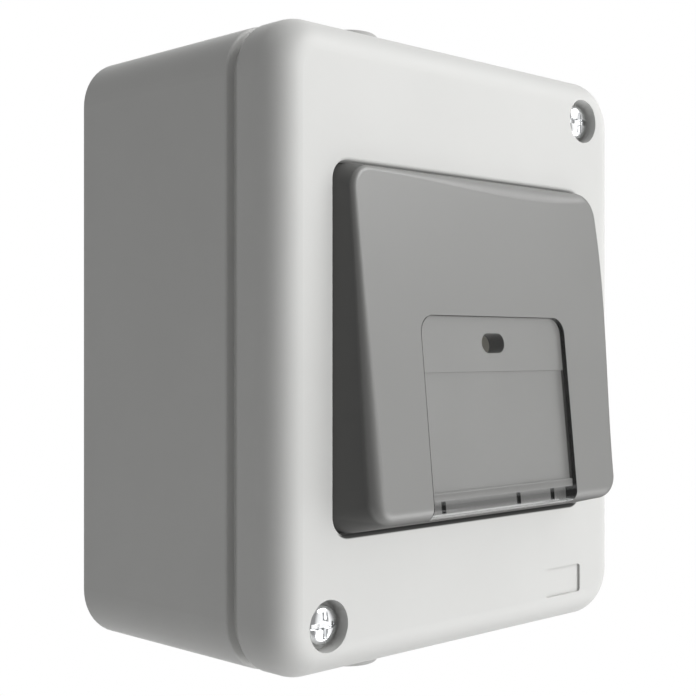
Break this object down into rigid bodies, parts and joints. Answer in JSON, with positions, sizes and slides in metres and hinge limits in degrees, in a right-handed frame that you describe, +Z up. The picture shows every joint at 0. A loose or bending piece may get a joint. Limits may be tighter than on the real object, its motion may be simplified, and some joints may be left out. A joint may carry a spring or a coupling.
{
  "type": "surface-mounted weatherproof rocker switch",
  "caption": "Grey surface-mounted weatherproof switch: rounded box and screwed cover, tilting rocker with a clear label window, rubber cable entries above and below.",
  "frame": {"origin": "centre of the flat back face, which lies on the wall", "axes": "X to the right seen from the front, +Y into the wall, +Z up"},
  "size_m": [0.0654, 0.0446, 0.0872],
  "materials": {
    "housing_plastic": "light grey moulded plastic, fine satin grain",
    "rocker_plastic": "mid grey moulded plastic, fine satin grain",
    "clear_plastic": "clear moulded plastic",
    "seal_rubber": "black soft rubber",
    "grommet_rubber": "grey soft rubber",
    "screw_chrome": "bright plated",
    "zinc_steel": "zinc plated",
    "insert_plastic": "off-white moulded plastic",
    "carrier_plastic": "off-white sliding plastic",
    "contact_brass": "bare stamped brass",
    "contact_silver": "silver alloy",
    "spring_steel": "drawn wire",
    "lamp_glass": "clear glass"
  },
  "bodies": {
    "housing": {"back_box": "housing_plastic", "lid_gasket": "seal_rubber", "front_cover": "housing_plastic", "cover_screws": "screw_chrome", "cover_screw_seals": "seal_rubber", "top_cable_grommet": "grommet_rubber", "bottom_cable_grommet": "grommet_rubber", "rocker_seal": "seal_rubber", "mechanism_base": "insert_plastic", "mechanism_screws": "zinc_steel", "common_contact": "contact_brass", "upper_contact": "contact_brass", "lower_contact": "contact_brass", "fixed_contact_tips": "contact_silver", "terminal_clamps": "contact_brass", "terminal_screws": "zinc_steel", "lamp_holder": "insert_plastic", "glow_lamp": "lamp_glass"},
    "rocker_unit": {"rocker": "rocker_plastic", "label_window": "clear_plastic", "rocker_carrier": "carrier_plastic"},
    "plunger_unit": {"plunger": "carrier_plastic", "plunger_spring": "spring_steel"},
    "bridge_unit": {"contact_bridge": "contact_brass", "bridge_contact_tips": "contact_silver"}
  },
  "joints": [
    {"name": "rocker_tilt", "type": "hinge", "parent": "housing", "child": "rocker_unit", "pos_m": [0, -0.0345, 0], "axis": [1, 0, 0], "range_deg": [0, 11.6]},
    {"name": "bridge_tilt", "type": "hinge", "parent": "housing", "child": "bridge_unit", "pos_m": [0.0072, -0.0212, 0], "axis": [1, 0, 0], "range_deg": [-12.01, 0]},
    {"name": "plunger_slide", "type": "slide", "parent": "rocker_unit", "child": "plunger_unit", "axis": [0, -0.9949, 0.1011], "range_m": [0, 0.0006], "stiffness_N_per_m": 300, "springref_m": -0.003, "deforming": ["plunger_spring"]}
  ],
  "couplings": [
    {"joint": "bridge_tilt", "follows": "rocker_tilt", "ratio": -1.0345}
  ]
}
